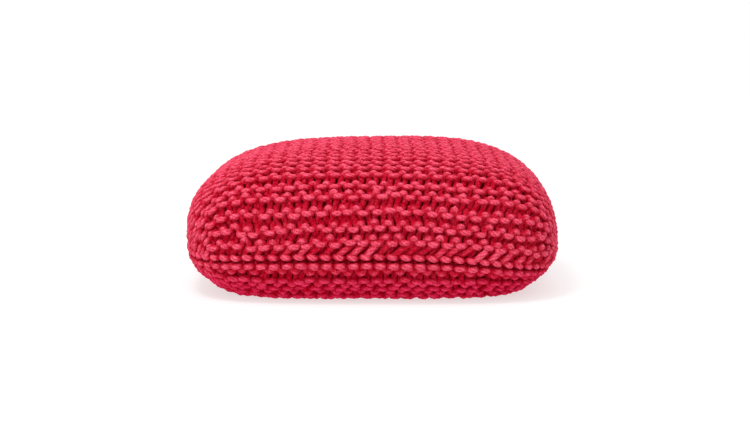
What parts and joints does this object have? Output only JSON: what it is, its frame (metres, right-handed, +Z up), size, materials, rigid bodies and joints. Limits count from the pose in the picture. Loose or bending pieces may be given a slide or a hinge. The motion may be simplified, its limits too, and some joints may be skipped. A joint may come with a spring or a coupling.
{
  "type": "knitted pouf",
  "caption": "Low square floor pouf in thick garter-stitch cotton cord, filled and domed, with a drawn-in seam low round its sides and a flat base.",
  "frame": {"origin": "middle of the flat base, on the floor", "axes": "+Z up through the middle of the top, +X along the knitted rows to the right, -Y towards the front"},
  "size_m": [0.5, 0.5, 0.192],
  "materials": {
    "cotton_cord": "matte knitted cotton cord"
  },
  "bodies": {
    "root": {"pouf": "cotton_cord"}
  },
  "joints": []
}
